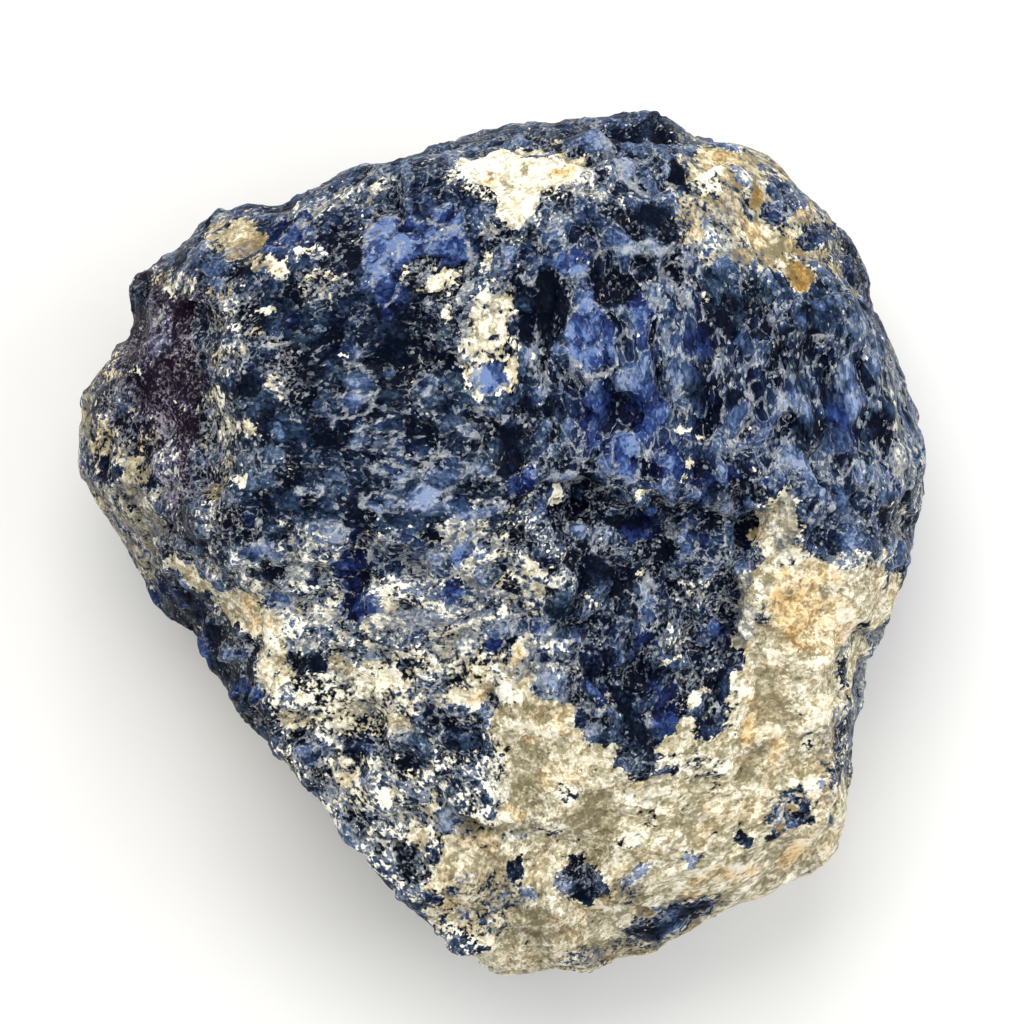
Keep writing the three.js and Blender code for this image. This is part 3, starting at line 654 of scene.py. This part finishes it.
def settle(piece):
    """Applies the piece's modifiers."""
    graph = bpy.context.evaluated_depsgraph_get()
    mesh = bpy.data.meshes.new_from_object(piece.evaluated_get(graph))
    old = piece.data
    piece.modifiers.clear()
    piece.data = mesh
    bpy.data.meshes.remove(old)


def even_out(mesh, passes, factor):
    """Smooths the mesh, each vertex part of the way to the middle of its neighbours."""
    form = bmesh.new()
    form.from_mesh(mesh)
    for _ in range(passes):
        bmesh.ops.smooth_vert(
            form, verts=form.verts, factor=factor,
            use_axis_x=True, use_axis_y=True, use_axis_z=True,
        )
    form.to_mesh(mesh)
    form.free()


def refine(piece, step):
    """Fine, even faces, with the flat facets of the solid rounded off."""
    remesh = piece.modifiers.new("even faces", "REMESH")
    remesh.mode = "VOXEL"
    remesh.voxel_size = step
    settle(piece)
    even_out(piece.data, passes=3, factor=0.5)


def vectors_of(rows, name):
    """Three numbers of each row of a mesh's data, as an array."""
    flat = np.empty(len(rows) * 3)
    rows.foreach_get(name, flat)
    return flat.reshape(-1, 3)


def points_of(mesh):
    return vectors_of(mesh.vertices, "co")


def normals_of(mesh):
    return vectors_of(mesh.vertex_normals, "vector")


def keep(mesh, name, values):
    """Keeps one number, or three, at each vertex under a name."""
    kind, slot = ("FLOAT", "value") if values.ndim == 1 else ("FLOAT_VECTOR", "vector")
    mesh.attributes.new(name, kind, "POINT").data.foreach_set(slot, values.ravel().astype("f"))


def run_tree(piece, title, write):
    """Runs a node tree on the piece: write gets its sheet and geometry, and gives geometry."""
    tree = bpy.data.node_groups.new(title, "GeometryNodeTree")
    tree.interface.new_socket("Geometry", in_out="INPUT", socket_type="NodeSocketGeometry")
    tree.interface.new_socket("Geometry", in_out="OUTPUT", socket_type="NodeSocketGeometry")
    sheet = Sheet(tree)
    finished = write(sheet, sheet.node("NodeGroupInput").outputs[0])
    sheet.feed(sheet.node("NodeGroupOutput").inputs[0], finished)
    piece.modifiers.new(title, "NODES").node_group = tree
    settle(piece)


def find_flakes(piece, sizes):
    """Keeps at each vertex its place among the flakes, and how far off its flake's middle is."""
    keep(piece.data, "grain_place", grain_places(points_of(piece.data), FLAKE_STRAYS))

    def write(sheet, geometry):
        small = small_flakes(sheet, sheet.attribute("grain_place", "FLOAT_VECTOR"), sizes)
        way = sheet.vector("SUBTRACT", small.middle, small.spot)
        return sheet.store("flake_way", geometry, way, "FLOAT_VECTOR")

    run_tree(piece, "flake middles", write)


def paint(mesh):
    """Keeps on the mesh what each point is made of, where the flutes are and how loose it is."""
    points = points_of(mesh)
    spots = points[:, :2]
    near = spots + strays(points, size=1.3, reach=0.22, seed=11)
    flakes = points + FLAKE_HOLD * vectors_of(mesh.attributes["flake_way"].data, "vector")
    upwards = normals_of(mesh)[:, 2] + LEVEL_WANDER * waves(points, size=4.0, seed=81)
    level = smooth(*STEEP_TO_LEVEL, upwards)
    for name, values in zip(SHARES, shares_of(points, flakes, near, level).T):
        keep(mesh, name, values)
    keep(mesh, "brink", brink_of(near))
    keep(mesh, "flute", smooth(-FLUTE_EDGE, FLUTE_EDGE, inside_ring(spots, COLUMNS)))
    calm = PLATEAU_CALM * smooth(-PLATEAU_EDGE, PLATEAU_EDGE, inside_ring(spots, PLATEAU))
    calm = np.maximum(calm, STEEP_CALM * (1.0 - level))
    keep(mesh, "loose", smooth(*FOOT_TO_SIDE, points[:, 2]) * (1.0 - calm))


def roughen(piece, sizes):
    """Raises and sinks the flakes and grains."""
    step = sizes.flake_step / MM

    def write(sheet, geometry):
        place = sheet.attribute("grain_place", "FLOAT_VECTOR")
        stray = sheet.evened(sheet.noise(place, size=1.5, detail=3.0)[1])
        ragged = sheet.vector("ADD", place, sheet.vector("SCALE", stray, scale=RAGGED_REACH))
        planes = Flakes(sheet, ragged, sizes.plane_size / MM, PLANE_SHIFT)
        big = Flakes(sheet, ragged, sizes.flake_size / MM)
        small = small_flakes(sheet, place, sizes)
        grains = Flakes(sheet, place, sizes.grain_size / MM, GRAIN_SHIFT)
        plate = sheet.hum(sheet.vector("ADD", place, PLATE_SHIFT), size=2.4, detail=1.0)
        terraces = sheet.plus(*(
            sheet.ease(plate, at - PLATE_SLANT, at + PLATE_SLANT) for at in PLATE_STEPS))
        blue_relief = sheet.plus(
            big.relief(step, part=0.75, tilt=0.2), small.relief(step, part=0.28, tilt=0.16),
            sheet.times(terraces, PLATE_DROP))
        dome = sheet.times(sheet.ease(grains.rim(), 0.0, GRAIN_DOME_EDGE), GRAIN_DOME)
        pale_relief = sheet.plus(
            grains.relief(step, part=0.3, tilt=0.1), dome,
            big.relief(step, part=0.35, tilt=0.1))
        pale = sheet.ease(sheet.attribute("pale"), *GRAINY)
        height = sheet.blend(pale, blue_relief, pale_relief, "FLOAT")
        drawn_out = sheet.vector("MULTIPLY", place, FLUTE_STRETCH)
        groove = sheet.hum(drawn_out, size=2.0, detail=2.0)
        flutes = sheet.times(groove, FLUTE_DEPTH, sheet.attribute("flute"))
        height = sheet.times(
            sheet.plus(height, flutes, planes.relief(step, part=1.0, tilt=0.1)),
            sheet.attribute("loose"))
        put = sheet.node("GeometryNodeSetPosition")
        normal = sheet.node("GeometryNodeInputNormal").outputs[0]
        sheet.feed(put.inputs["Geometry"], geometry)
        sheet.feed(put.inputs["Offset"], sheet.vector("SCALE", normal, scale=height))
        finished = put.outputs[0]
        for name, value in (
            ("flake_tone", big.roll(2)), ("flake_rim", big.rim()),
            ("cloud", sheet.hum(place, size=2.6, detail=2.0, roughness=0.6)), ("plate", plate),
        ):
            finished = sheet.store(name, finished, value)
        return finished

    run_tree(piece, "flake relief", write)
    even_out(piece.data, passes=1, factor=0.4)
    keep(piece.data, "fine_place", grain_places(points_of(piece.data), []))


def mark_hollows(mesh):
    """Keeps how deep each point lies below the ground around it: 1 in a hollow, -1 on a ridge."""
    evened = mesh.copy()
    even_out(evened, passes=14, factor=1.0)
    depth = ((points_of(evened) - points_of(mesh)) * normals_of(mesh)).sum(1)
    bpy.data.meshes.remove(evened)
    # The material paints shade in hollows and light on ridges by this
    keep(mesh, "hollow", np.clip(depth / HOLLOW_DEPTH, -1.0, 1.0))


def plant(mesh):
    """Presses the foot flat onto the floor and brings the mesh to metres."""
    form = bmesh.new()
    form.from_mesh(mesh)
    for vertex in form.verts:
        if vertex.co.z < FOOT_LEVEL:
            vertex.co.z = 0.0
    bmesh.ops.recalc_face_normals(form, faces=form.faces)
    bmesh.ops.scale(form, vec=(MM,) * 3, verts=form.verts)
    form.to_mesh(mesh)
    form.free()
    mesh.shade_smooth()


# ---------------------------------------------------------------------------------------------
# The lump's finish

# How much of each pattern a recipe adds to what it starts from. The patterns are:
# big                    differs from one big flake to the next
# small and fine 0 to 2  differ from one small or fine flake to the next, each in three ways
# plates                 differs from one thin plate to the next
# lean                   rises from one side of a small flake to the other: painted light and shade
# cloud, curl, speck     soft noises, from wide to narrow
# patch and chip         are curl and speck with sharp edges
# hollow                 is 1 in a hollow and -1 on a ridge: painted shade in hollows and light on ridges
# seam, thin seam, rim   lie along the edges of small flakes, and the rim along those of big ones
RECIPES = {
    "patch": {"fine 2": 0.10},
    "chip": {"fine 1": 0.10},
    "pale": {"small 1": 0.35, "fine 1": 0.42, "speck": 0.5, "curl": 0.9, "cloud": 0.5},
    "plate": {"speck": 0.05, "fine 2": 0.02},
    # In the tone, lean, seam and hollow are painted light and shade
    "tone": {"big": 0.24, "small 2": 0.22, "plates": 0.15, "lean": 0.4, "fine 2": 0.22,
             "cloud": 0.4, "speck": 0.3, "patch": 0.09, "chip": 0.08, "seam": -0.10,
             "hollow": -0.24, "rim": 0.10},
    "pure": {"small 0": 0.3},
    "edge": {"speck": 0.3},
    "edge film": {"cloud": 1.6, "fine 0": 0.6},
    "edge strength": {"chip": 0.34},
    "flake film": {"small 1": 0.9, "fine 0": 0.35, "speck": 0.9, "cloud": 0.5},
    "brink": {"speck": 0.4},
    "brink film": {"fine 0": 0.3},
    "film tint": {"chip": 0.6, "patch": 0.4},
    "fleck": {"speck": 1.2},
    "powder": {"cloud": 1.0, "fine 0": 0.4, "hollow": -0.1},
    "powder strength": {"fine 2": 0.8},
    # In the light, lean and hollow are painted light and shade
    "light": {"small 0": 0.20, "fine 0": 0.26, "lean": 0.3, "cloud": 0.25, "patch": 0.32,
              "chip": 0.20, "plates": 0.05, "hollow": -0.22, "thin seam": -0.12},
    "stain": {"small 1": 0.4, "cloud": 0.6},
    "grey": {"cloud": 1.0, "small 2": 0.4},
    "shine": {"small 0": 0.24},
}
# From where to where a recipe's sum, or a distance from an edge or line, goes from nothing to all
RISES = {
    "patch": (-0.02, 0.02),
    "chip": (-0.03, 0.03),
    "seam": (0.34, 0.08),
    "thin seam": (0.10, 0.0),
    "rim": (0.60, 0.15),
    "pale": (0.45, 0.55),
    "edge": (0.08, 0.01),
    "edge film": (0.10, 0.50),
    "flake film": (0.85, 1.15),
    "brink": (0.17, 0.05),
    "brink film": (-0.22, -0.05),
    "line": (0.04, 0.01),
    "fleck": (0.84, 0.94),
    "powder": (0.25, 0.75),
    "stain": (0.35, 1.1),
    "grey": (0.1, 0.8),
}
# The colours from the darkest tone to the lightest
GREY_BLUES = ((0.0, "black_blue"), (0.22, "navy"), (0.44, "slate_blue"), (0.64, "denim"),
              (0.84, "clear_blue"), (1.0, "ice_blue"))
PURE_BLUES = ((0.0, "ink"), (0.35, "royal"), (0.7, "cobalt"), (1.0, "sky"))
CREAMS = ((0.0, "olive"), (0.35, "khaki"), (0.6, "beige"), (0.8, "cream"), (1.0, "white"))
GREYS = ((0.0, "steel"), (0.38, "grey"), (0.7, "light_grey"), (1.0, "white"))

FINE_SHIFT = 0.13  # how far a fine flake shifts what lies under it, in millimetres
SEAM_WIDENING = 0.08
PLATE_EDGE = 0.006  # half the width of a plate's edge, in the plates' noise
PLATE_SLOPE = 5.0  # how many millimetres there are to one unit of that noise
PLATE_RIM_SHORT = 0.01  # how much narrower the film is along plates than along seams
RIM_SPARE = 0.02  # and how much wider along big flakes
# How far the painted violet shade and reflection dim the blue
VIOLET_DEPTH = 0.7
EDGE_FILM = 0.83  # how dense the film is along edges
FLAKE_FILM = 0.7  # and over whole flakes
LINE_POWDER = 0.7
POWDER = 0.56  # how dense the powder is
ROUGHNESS = 0.42  # of clean sodalite
POWDER_ROUGHNESS = 0.3  # what powder adds to it
PALE_ROUGHNESS = 0.75
STONE_SPECULAR = 0.04
TURN = 0.5  # how far a small flake, and again a fine one, turns its face off the form's


def stone_material(sizes, tints):
    """Sodalite and feldspar: flake by flake and grain by grain, with pale rims, film and dust."""
    material = bpy.data.materials.new(PIECE)
    material.use_nodes = True
    sheet = Sheet(material.node_tree)
    shader = material.node_tree.nodes["Principled BSDF"]
    share = {name: sheet.attribute(name) for name in SHARES}
    place = sheet.attribute("grain_place", "FLOAT_VECTOR")
    fine = Flakes(
        sheet, sheet.attribute("fine_place", "FLOAT_VECTOR"), sizes.grit_size / MM)
    # Each fine flake is shifted a little, so it breaks the edges and lines that cross it
    shift = sheet.evened(fine.whole_dice)
    broken = sheet.vector("ADD", place, sheet.vector("SCALE", shift, scale=FINE_SHIFT))
    small = small_flakes(sheet, broken, sizes)
    seam = small.seam(SEAM_WIDENING)
    flake_rim = sheet.attribute("flake_rim")

    def mix(name, start):
        """What a recipe starts from plus its patterns, each by its weight."""
        total = start
        for pattern, weight in RECIPES.get(name, {}).items():
            total = sheet.plus(total, sheet.times(patterns[pattern], weight))
        return total

    def rise(name, start):
        """The same, brought to run from 0 to 1."""
        return sheet.ease(mix(name, start), *RISES[name])

    patterns = {name: sheet.attribute(name) for name in ("hollow", "cloud")}
    patterns["big"] = sheet.attribute("flake_tone")
    patterns["lean"] = small.lean()
    for number in range(3):
        patterns["small %d" % number] = small.roll(number)
        patterns["fine %d" % number] = fine.roll(number)
    patterns["speck"] = sheet.hum(fine.spot, size=0.3, detail=1.0)
    patterns["curl"] = sheet.hum(fine.spot, size=0.7, detail=2.0)
    patterns["patch"] = sheet.minus(rise("patch", patterns["curl"]), MIDDLE)
    patterns["chip"] = sheet.minus(rise("chip", patterns["speck"]), MIDDLE)
    # Painted shade: a dark line just inside the edges of the small flakes, in the tone
    patterns["seam"] = rise("seam", seam)
    patterns["thin seam"] = rise("thin seam", seam)
    patterns["rim"] = rise("rim", flake_rim)

    # Thin plates lie over one another, and end in ragged edges
    plate = mix("plate", sheet.attribute("plate"))
    patterns["plates"] = sheet.plus(-1.0, *(
        sheet.ease(plate, at - PLATE_EDGE, at + PLATE_EDGE) for at in PLATE_STEPS))
    plate_rim = sheet.times(PLATE_SLOPE, sheet.least(*(
        sheet.math("ABSOLUTE", sheet.minus(plate, at)) for at in PLATE_STEPS)))

    # The sodalite, each flake lighter to one side, darker along its edges and in hollows: painted
    # light and shade
    tone = mix("tone", share["tone"])
    blue = sheet.blend(
        mix("pure", share["royal"]), sheet.ramp(tone, GREY_BLUES, tints),
        sheet.ramp(tone, PURE_BLUES, tints))
    # Painted shade and painted reflection: the left side dimmed towards violet
    blue = sheet.blend(sheet.times(share["violet"], VIOLET_DEPTH), blue, tints.violet)

    # The film on it lies along the edges of flakes, plates and rimmed marks, and over some flakes
    edge = sheet.least(
        seam, sheet.plus(plate_rim, PLATE_RIM_SHORT), sheet.minus(flake_rim, RIM_SPARE))
    in_seam = sheet.times(rise("edge", edge), rise("edge film", share["film"]))
    on_brink = sheet.times(
        rise("brink", sheet.attribute("brink")), rise("brink film", patterns["cloud"]))
    edges = sheet.times(sheet.most(in_seam, on_brink), mix("edge strength", EDGE_FILM))
    film = sheet.most(edges, sheet.times(rise("flake film", share["film"]), FLAKE_FILM))
    thickness = mix("film tint", sheet.most(fine.dice[1], on_brink))
    film_tint = sheet.blend(thickness, tints.film, tints.light_film)
    blue = sheet.blend(film, blue, film_tint)

    # Powder lies in flecks and in short curved lines
    line = sheet.times(rise("line", sheet.math("ABSOLUTE", patterns["curl"])), LINE_POWDER)
    net = sheet.times(
        sheet.most(line, rise("fleck", fine.dice[1])), rise("powder", share["dust"]),
        mix("powder strength", POWDER))
    blue = sheet.blend(net, blue, tints.powder)
    # Painted reflection: a violet glaze over the left side
    blue = sheet.cast(share["violet"], blue, tints.violet_cast)

    # The pale grains, grey under the film and stained by iron in places, with painted light and
    # shade by lean and hollow
    light = mix("light", share["light"])
    stained = sheet.cast(
        rise("stain", share["warm"]), sheet.ramp(light, CREAMS, tints), tints.stain)
    pale = sheet.blend(rise("grey", share["film"]), stained, sheet.ramp(light, GREYS, tints))
    is_pale = rise("pale", share["pale"])
    sheet.feed(shader.inputs["Base Color"], sheet.blend(is_pale, blue, pale))

    roughness = sheet.plus(mix("shine", ROUGHNESS), sheet.times(net, POWDER_ROUGHNESS))
    sheet.feed(
        shader.inputs["Roughness"], sheet.blend(is_pale, roughness, PALE_ROUGHNESS, "FLOAT"))
    shader.inputs["Specular IOR Level"].default_value = STONE_SPECULAR

    # Every flake faces its own way
    facet = sheet.vector(
        "ADD", sheet.vector("SCALE", sheet.evened(small.whole_dice), scale=TURN),
        sheet.vector("SCALE", shift, scale=TURN))
    outwards = sheet.node("ShaderNodeNewGeometry").outputs["Normal"]
    turned = sheet.vector("NORMALIZE", sheet.vector("ADD", outwards, facet))
    sheet.feed(shader.inputs["Normal"], turned)
    return material


# ---------------------------------------------------------------------------------------------
# The add-on. The sizes of the stage are in metres.

CAMERA_HEIGHT = 0.615
CAMERA_OFFSET = (0.00072, 0.0026)
CLIPS = (0.01, 20.0)  # the nearest and the furthest that the camera sees
VIEW_WIDTH = 0.08192  # how much of a level plane at VIEW_LEVEL the frame takes in
VIEW_LEVEL = 0.015
SENSOR = 36.0  # in millimetres
LAMP_SIZE = 0.40
KEY_PLACE = (-0.08, 0.28, 0.50)
KEY_COLOUR = (1.0, 0.98, 0.95)
FILL_PLACE = (0.42, 0.05, 0.42)
FILL_COLOUR = (0.95, 0.97, 1.0)
ROOM_COLOUR = (1.0, 1.0, 1.0, 1.0)
PAPER_SHADE = 0.985  # the darker spots of the floor
PAPER_ROUGHNESS = 0.9
PAPER_SPECULAR = 0.1


def screen(*colour):
    """A colour from 0 to 255, as a monitor counts it, as the light that Blender counts."""
    return tuple(Color([part / 255.0 for part in colour]).from_srgb_to_scene_linear())


def length(name, description, default):
    return bpy.props.FloatProperty(
        name=name, description=description, default=default * MM, min=0.01 * MM,
        unit="LENGTH", precision=5,
    )


def tint(name, description, colour):
    return bpy.props.FloatVectorProperty(
        name=name, description=description, default=screen(*colour), subtype="COLOR",
        size=3, min=0.0, max=1.0,
    )


class SodaliteSizes(bpy.types.PropertyGroup):
    mesh_step: length("Mesh step", "Width of the faces of the stone's mesh", 0.394)
    plane_size: length("Plane size", "Width of the flat planes the stone broke along", 7.0)
    flake_size: length("Flake size", "Width of the big flakes of sodalite", 3.2)
    flake_step: length("Flake step", "How far one big flake stands above the next", 0.22)
    small_flake_size: length("Small flake size", "Width of the flakes on the big ones", 1.6)
    grit_size: length("Grit size", "Width of the finest flakes", 0.24)
    grain_size: length("Grain size", "Width of the grains of feldspar", 0.8)


class SodaliteTints(bpy.types.PropertyGroup):
    black_blue: tint("Black blue", "Darkest sodalite", (4, 10, 25))
    navy: tint("Navy", "Dark sodalite", (15, 28, 47))
    slate_blue: tint("Slate blue", "Middle sodalite", (37, 53, 72))
    denim: tint("Denim", "Light sodalite", (60, 80, 108))
    clear_blue: tint("Clear blue", "Lighter sodalite", (96, 114, 147))
    ice_blue: tint("Ice blue", "Lightest sodalite", (148, 160, 182))
    ink: tint("Ink", "Darkest pure blue", (5, 9, 32))
    royal: tint("Royal blue", "Dark pure blue", (20, 33, 78))
    cobalt: tint("Cobalt", "Middle pure blue", (46, 68, 122))
    sky: tint("Sky", "Lightest pure blue", (104, 128, 176))
    # The painted violet shade and reflection of the left side
    violet: tint("Violet", "Painted shade and reflection, violet, on the left side", (34, 22, 35))
    violet_cast: tint("Violet cast", "Painted reflection, a violet glaze on the left side", (255, 232, 246))
    film: tint("Film", "Thin pale skin on the flakes", (116, 128, 148))
    light_film: tint("Light film", "Thicker pale skin", (176, 180, 182))
    powder: tint("Powder", "White powder in the hollows", (166, 172, 172))
    olive: tint("Olive", "Darkest feldspar", (130, 122, 96))
    khaki: tint("Khaki", "Dark feldspar", (160, 151, 122))
    beige: tint("Beige", "Middle feldspar", (198, 190, 163))
    cream: tint("Cream", "Light feldspar", (230, 223, 198))
    white: tint("White", "Lightest feldspar", (248, 245, 229))
    steel: tint("Steel", "Darkest grey feldspar", (84, 90, 98))
    grey: tint("Grey", "Dark grey feldspar", (122, 127, 129))
    light_grey: tint("Light grey", "Light grey feldspar", (172, 174, 168))
    stain: tint("Stain", "Cast that iron gives to feldspar", (248, 210, 152))


class SodaliteStage(bpy.types.PropertyGroup):
    floor_size: bpy.props.FloatProperty(
        name="Floor size", description="Width of the floor", default=4.0, min=0.5, unit="LENGTH")
    floor_tint: tint("Floor", "Colour of the floor", (246, 246, 244))
    key_power: bpy.props.FloatProperty(
        name="Key light", description="Power of the soft light from behind",
        default=2.3, min=0.0, unit="POWER")
    fill_power: bpy.props.FloatProperty(
        name="Fill light", description="Power of the weak light from the right",
        default=1.3, min=0.0, unit="POWER")
    sky_strength: bpy.props.FloatProperty(
        name="Room light", description="Strength of the even light from all round",
        default=0.62, min=0.0)


class SODALITE_OT_lump(bpy.types.Operator):
    """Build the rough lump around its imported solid"""

    bl_idname = "sodalite.lump"
    bl_label = "Rough lump"

    def execute(self, context):
        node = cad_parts.get(LUMP)
        if node is None:
            raise RuntimeError("the packed frame has no solid named " + LUMP)
        sizes, tints = context.scene.sodalite_sizes, context.scene.sodalite_tints
        piece = fresh_copy(node)
        refine(piece, sizes.mesh_step / MM)
        find_flakes(piece, sizes)
        paint(piece.data)
        roughen(piece, sizes)
        mark_hollows(piece.data)
        plant(piece.data)
        piece.data.materials.clear()
        piece.data.materials.append(stone_material(sizes, tints))
        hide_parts(LUMP)
        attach(piece, "root")
        return {"FINISHED"}


def lamp(name, place, power, colour):
    """A square soft light that looks at the middle of the stone."""
    light = bpy.data.lights.new(name, "AREA")
    light.size = LAMP_SIZE
    light.energy = power
    light.color = colour
    thing = bpy.data.objects.new(name, light)
    bpy.context.scene.collection.objects.link(thing)
    thing.location = place
    way = thing.location - Vector((0.0, 0.0, VIEW_LEVEL))
    thing.rotation_euler = way.to_track_quat("Z", "Y").to_euler()


class SODALITE_OT_stage(bpy.types.Operator):
    """Lay the floor and set the lights and the camera"""

    bl_idname = "sodalite.stage"
    bl_label = "Floor, lights and camera"

    def execute(self, context):
        scene, stage = context.scene, context.scene.sodalite_stage
        mesh = bpy.data.meshes.new("floor")
        form = bmesh.new()
        bmesh.ops.create_grid(form, x_segments=1, y_segments=1, size=stage.floor_size / 2.0)
        form.to_mesh(mesh)
        form.free()
        floor = bpy.data.objects.new("floor", mesh)
        scene.collection.objects.link(floor)
        paper = bpy.data.materials.new("floor_paper")
        paper.use_nodes = True
        sheet = Sheet(paper.node_tree)
        shader = paper.node_tree.nodes["Principled BSDF"]
        place = sheet.node("ShaderNodeTexCoord").outputs["Object"]
        grain = sheet.noise(place, size=0.004, detail=3.0)[0]
        shade = [PAPER_SHADE * part for part in stage.floor_tint]
        sheet.feed(shader.inputs["Base Color"], sheet.blend(grain, stage.floor_tint, shade))
        shader.inputs["Roughness"].default_value = PAPER_ROUGHNESS
        shader.inputs["Specular IOR Level"].default_value = PAPER_SPECULAR
        mesh.materials.append(paper)

        lamp("key_light", KEY_PLACE, stage.key_power, KEY_COLOUR)
        lamp("fill_light", FILL_PLACE, stage.fill_power, FILL_COLOUR)
        world = bpy.data.worlds.new("room")
        world.use_nodes = True
        air = world.node_tree.nodes["Background"]
        air.inputs["Color"].default_value = ROOM_COLOUR
        air.inputs["Strength"].default_value = stage.sky_strength
        scene.world = world

        lens = bpy.data.cameras.new("camera")
        lens.sensor_width = SENSOR
        lens.lens = SENSOR * (CAMERA_HEIGHT - VIEW_LEVEL) / VIEW_WIDTH
        lens.clip_start, lens.clip_end = CLIPS
        camera = bpy.data.objects.new("camera", lens)
        camera.location = (*CAMERA_OFFSET, CAMERA_HEIGHT)
        scene.collection.objects.link(camera)
        scene.camera = camera
        scene.view_settings.view_transform = "Standard"
        return {"FINISHED"}


class SODALITE_PT_panel(bpy.types.Panel):
    """Lists the pieces, their sizes and their colours"""

    bl_label = "Rough sodalite"
    bl_idname = "SODALITE_PT_panel"
    bl_space_type = "VIEW_3D"
    bl_region_type = "UI"
    bl_category = "Sodalite"

    def draw(self, context):
        scene = context.scene
        for title, group, operator in (
            ("Lump", scene.sodalite_sizes, SODALITE_OT_lump),
            ("Colours", scene.sodalite_tints, None),
            ("Stage", scene.sodalite_stage, SODALITE_OT_stage),
        ):
            box = self.layout.box()
            box.label(text=title)
            for name in group.__annotations__:
                box.prop(group, name)
            if operator:
                box.operator(operator.bl_idname)


CLASSES = (
    SodaliteSizes,
    SodaliteTints,
    SodaliteStage,
    SODALITE_OT_lump,
    SODALITE_OT_stage,
    SODALITE_PT_panel,
)


def register():
    for kind in CLASSES:
        bpy.utils.register_class(kind)
    bpy.types.Scene.sodalite_sizes = bpy.props.PointerProperty(type=SodaliteSizes)
    bpy.types.Scene.sodalite_tints = bpy.props.PointerProperty(type=SodaliteTints)
    bpy.types.Scene.sodalite_stage = bpy.props.PointerProperty(type=SodaliteStage)


def unregister():
    del bpy.types.Scene.sodalite_stage
    del bpy.types.Scene.sodalite_tints
    del bpy.types.Scene.sodalite_sizes
    for kind in reversed(CLASSES):
        bpy.utils.unregister_class(kind)


def main():
    register()
    bpy.ops.sodalite.lump()
    bpy.ops.sodalite.stage()


if __name__ == "__main__":
    main()
